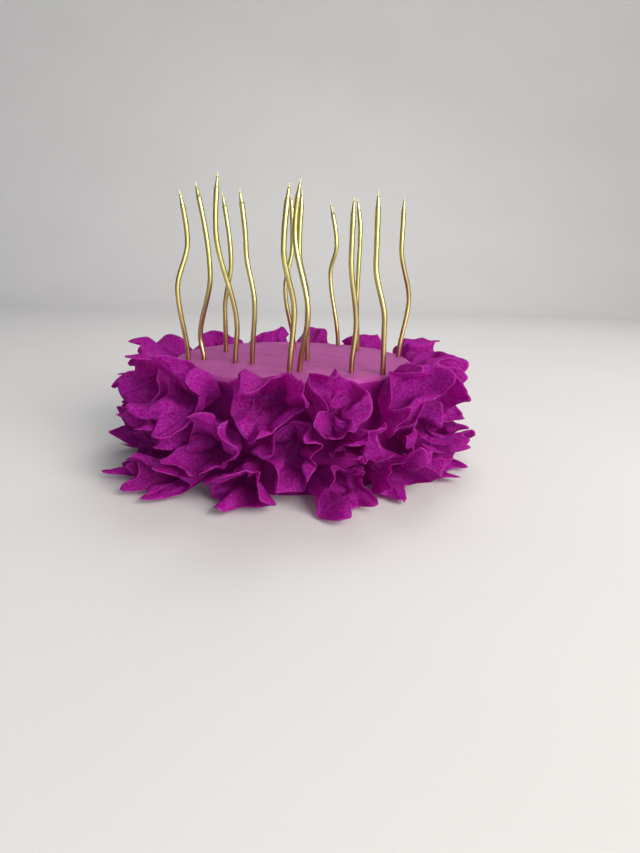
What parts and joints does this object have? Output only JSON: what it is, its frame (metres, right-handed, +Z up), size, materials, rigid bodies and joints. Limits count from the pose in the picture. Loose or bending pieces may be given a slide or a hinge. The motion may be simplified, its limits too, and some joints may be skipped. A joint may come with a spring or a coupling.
{
  "type": "birthday cake with candles",
  "caption": "Round iced birthday cake with a dense ruffle of crumpled edible paper round its side and tall wavy candles standing in its flat top",
  "frame": {"origin": "middle of the cake's flat underside, which rests on a surface", "axes": "+Z up, -Y the side that the picture shows as the front, +X to the right seen from the front"},
  "size_m": [0.2516, 0.2533, 0.179],
  "materials": {
    "icing": "matt pink-violet buttercream",
    "wafer_paper": "matt magenta-violet wafer paper, slightly see-through",
    "gold_wax": "satin gold coating on wax"
  },
  "bodies": {
    "root": {"cake": "icing", "candle_01": "gold_wax", "candle_02": "gold_wax", "candle_03": "gold_wax", "candle_04": "gold_wax", "candle_05": "gold_wax", "candle_06": "gold_wax", "candle_07": "gold_wax", "candle_08": "gold_wax", "candle_09": "gold_wax", "candle_10": "gold_wax", "candle_11": "gold_wax", "candle_12": "gold_wax", "candle_13": "gold_wax", "candle_14": "gold_wax", "petal_low_01": "wafer_paper", "petal_low_02": "wafer_paper", "petal_low_03": "wafer_paper", "petal_low_04": "wafer_paper", "petal_low_05": "wafer_paper", "petal_low_06": "wafer_paper", "petal_low_07": "wafer_paper", "petal_low_08": "wafer_paper", "petal_low_09": "wafer_paper", "petal_low_10": "wafer_paper", "petal_low_11": "wafer_paper", "petal_low_12": "wafer_paper", "petal_low_13": "wafer_paper", "petal_low_14": "wafer_paper", "petal_middle_01": "wafer_paper", "petal_middle_02": "wafer_paper", "petal_middle_03": "wafer_paper", "petal_middle_04": "wafer_paper", "petal_middle_05": "wafer_paper", "petal_middle_06": "wafer_paper", "petal_middle_07": "wafer_paper", "petal_middle_08": "wafer_paper", "petal_middle_09": "wafer_paper", "petal_middle_10": "wafer_paper", "petal_middle_11": "wafer_paper", "petal_middle_12": "wafer_paper", "petal_middle_13": "wafer_paper", "petal_middle_14": "wafer_paper", "petal_top_01": "wafer_paper", "petal_top_02": "wafer_paper", "petal_top_03": "wafer_paper", "petal_top_04": "wafer_paper", "petal_top_05": "wafer_paper", "petal_top_06": "wafer_paper", "petal_top_07": "wafer_paper", "petal_top_08": "wafer_paper", "petal_top_09": "wafer_paper", "petal_top_10": "wafer_paper", "petal_top_11": "wafer_paper", "petal_top_12": "wafer_paper", "petal_top_13": "wafer_paper", "petal_top_14": "wafer_paper"}
  },
  "joints": []
}
